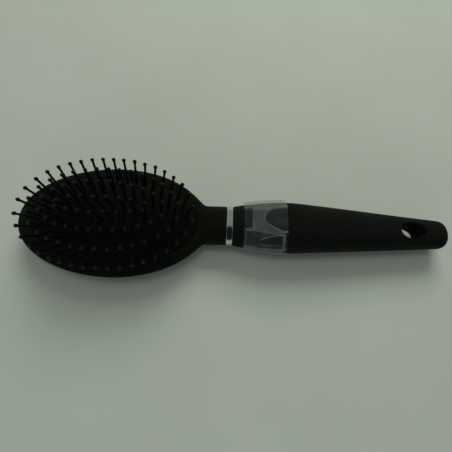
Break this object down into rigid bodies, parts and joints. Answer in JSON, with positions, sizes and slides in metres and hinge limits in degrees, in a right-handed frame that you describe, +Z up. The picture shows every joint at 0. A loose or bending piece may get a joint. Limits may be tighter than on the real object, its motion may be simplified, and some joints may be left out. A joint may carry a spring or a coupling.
{
  "type": "hair brush",
  "caption": "Oval hair brush with a domed air cushion, fanned ball-tipped pins, a chrome ring and a tapered soft-touch handle with an oval hang hole.",
  "frame": {"origin": "centre of the bounding box, on the ground plane that the brush lies on", "axes": "+X along the brush from head to handle, +Y across it, +Z up through the pins"},
  "size_m": [0.2459, 0.0646, 0.0393],
  "materials": {
    "shell_black": "satin moulded",
    "cushion_rubber": "matt, faintly grained",
    "pin_nylon": "smooth, glossy ball tips",
    "ferrule_chrome": "mirror",
    "grip_soft_touch": "soft-touch, matt",
    "core_plastic": "as moulded",
    "film_clear": "clear, glossy, creased"
  },
  "bodies": {
    "root": {"head_shell": "shell_black", "cushion_pad": "cushion_rubber", "ferrule": "ferrule_chrome", "grip_core": "core_plastic", "grip_sleeve": "grip_soft_touch", "clear_film_band": "film_clear"},
    "outer_ring": {"pins_outer_1": "pin_nylon", "pins_outer_2": "pin_nylon", "pins_outer_3": "pin_nylon", "pins_outer_4": "pin_nylon", "pins_outer_5": "pin_nylon", "pins_outer_6": "pin_nylon", "pins_outer_7": "pin_nylon", "pins_outer_8": "pin_nylon"},
    "second_ring": {"pins_second_1": "pin_nylon", "pins_second_2": "pin_nylon", "pins_second_3": "pin_nylon", "pins_second_4": "pin_nylon", "pins_second_5": "pin_nylon", "pins_second_6": "pin_nylon"},
    "third_ring": {"pins_third_1": "pin_nylon", "pins_third_2": "pin_nylon", "pins_third_3": "pin_nylon", "pins_third_4": "pin_nylon", "pins_third_5": "pin_nylon", "pins_third_6": "pin_nylon"},
    "inner_ring": {"pins_inner_1": "pin_nylon", "pins_inner_2": "pin_nylon", "pins_inner_3": "pin_nylon", "pins_inner_4": "pin_nylon"}
  },
  "joints": [
    {"name": "cushion_press", "type": "slide", "parent": "root", "child": "inner_ring", "axis": [0, 0, -1], "range_m": [0, 0.0045], "stiffness_N_per_m": 300, "deforming": ["cushion_pad"]},
    {"name": "third_ring_press", "type": "slide", "parent": "root", "child": "third_ring", "axis": [0, 0, -1], "range_m": [0, 0.00401], "stiffness_N_per_m": 400},
    {"name": "second_ring_press", "type": "slide", "parent": "root", "child": "second_ring", "axis": [0, 0, -1], "range_m": [0, 0.00298], "stiffness_N_per_m": 500},
    {"name": "outer_ring_press", "type": "slide", "parent": "root", "child": "outer_ring", "axis": [0, 0, -1], "range_m": [0, 0.0014], "stiffness_N_per_m": 600}
  ],
  "couplings": [
    {"joint": "third_ring_press", "follows": "cushion_press", "ratio": 0.88},
    {"joint": "second_ring_press", "follows": "cushion_press", "ratio": 0.65},
    {"joint": "outer_ring_press", "follows": "cushion_press", "ratio": 0.3}
  ]
}
